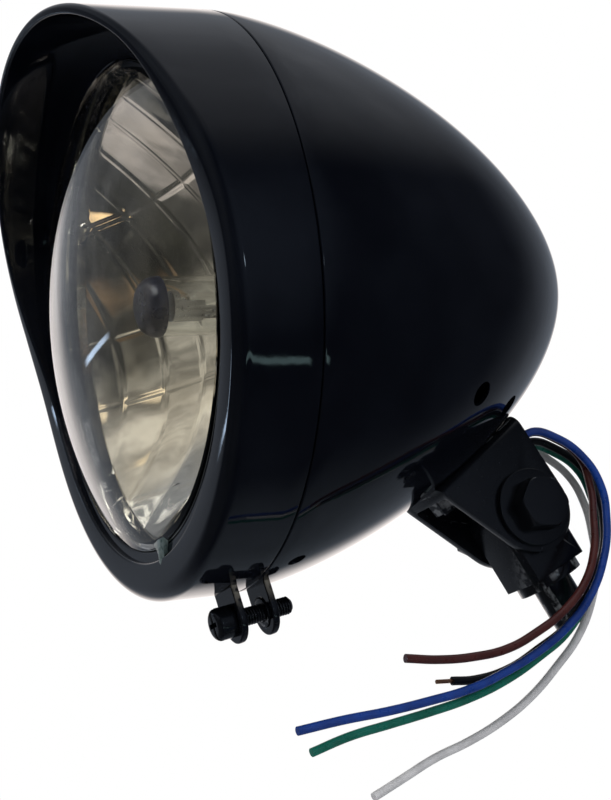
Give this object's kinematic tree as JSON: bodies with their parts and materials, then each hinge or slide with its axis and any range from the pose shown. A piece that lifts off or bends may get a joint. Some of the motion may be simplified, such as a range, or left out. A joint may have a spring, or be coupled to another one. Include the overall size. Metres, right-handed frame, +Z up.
{
  "type": "round motorcycle headlight",
  "caption": "Black bullet headlight with a peaked trim ring, clear lens, faceted reflector, bottom swivel mount and free wires.",
  "frame": {"origin": "centre of the underside of the mounting stud's collar, where it meets what carries the lamp", "axes": "-Y is the way the light shines, +Z is up, +X is the lamp's left side seen from behind the light"},
  "size_m": [0.164, 0.1595, 0.2256],
  "materials": {
    "shell": "high gloss black",
    "trim_ring": "high gloss black",
    "clamp_screw": "satin black",
    "clamp_nut": "satin black",
    "lens": "clear",
    "lens_gasket": "matte",
    "lens_clips": "zinc plated",
    "reflector": "bright metallised",
    "bulb_glass": "clear with a dark tip",
    "bulb_electrodes": "plain",
    "bulb_base": "plain",
    "bulb_terminals": "tinned",
    "bulb_clip": "spring wire",
    "dust_boot": "matte",
    "bulb_connector": "matte",
    "position_bulb": "clear",
    "position_holder": "matte",
    "mount_bracket": "satin black",
    "bracket_bolts": "zinc plated",
    "bracket_nuts": "zinc plated",
    "wire_grommet": "matte",
    "wire_sleeve": "matte",
    "brown_wire": "brown insulation",
    "blue_wire": "blue insulation",
    "black_wire": "black insulation",
    "green_wire": "green insulation",
    "white_wire": "white insulation",
    "black_wire_core": "bare copper",
    "swivel_block": "satin black",
    "pivot_bolt": "black oxide",
    "pivot_washers": "black oxide",
    "pivot_nut": "black oxide",
    "mounting_stud": "black oxide"
  },
  "bodies": {
    "mount": {"swivel_block": "swivel_block", "pivot_bolt": "pivot_bolt", "pivot_washers": "pivot_washers", "pivot_nut": "pivot_nut", "mounting_stud": "mounting_stud"},
    "lamp": {"shell": "shell", "trim_ring": "trim_ring", "clamp_screw": "clamp_screw", "clamp_nut": "clamp_nut", "lens": "lens", "lens_gasket": "lens_gasket", "lens_clips": "lens_clips", "reflector": "reflector", "bulb_glass": "bulb_glass", "bulb_electrodes": "bulb_electrodes", "bulb_base": "bulb_base", "bulb_terminals": "bulb_terminals", "bulb_clip": "bulb_clip", "dust_boot": "dust_boot", "bulb_connector": "bulb_connector", "position_bulb": "position_bulb", "position_holder": "position_holder", "mount_bracket": "mount_bracket", "bracket_bolts": "bracket_bolts", "bracket_nuts": "bracket_nuts", "wire_grommet": "wire_grommet", "wire_sleeve": "wire_sleeve", "brown_wire": "brown_wire", "blue_wire": "blue_wire", "black_wire": "black_wire", "green_wire": "green_wire", "white_wire": "white_wire", "black_wire_core": "black_wire_core"}
  },
  "joints": [
    {"name": "tilt", "type": "hinge", "parent": "mount", "child": "lamp", "pos_m": [0, -0.0086, 0.02025], "axis": [1, 0, 0], "range_deg": [-15, 15]}
  ]
}
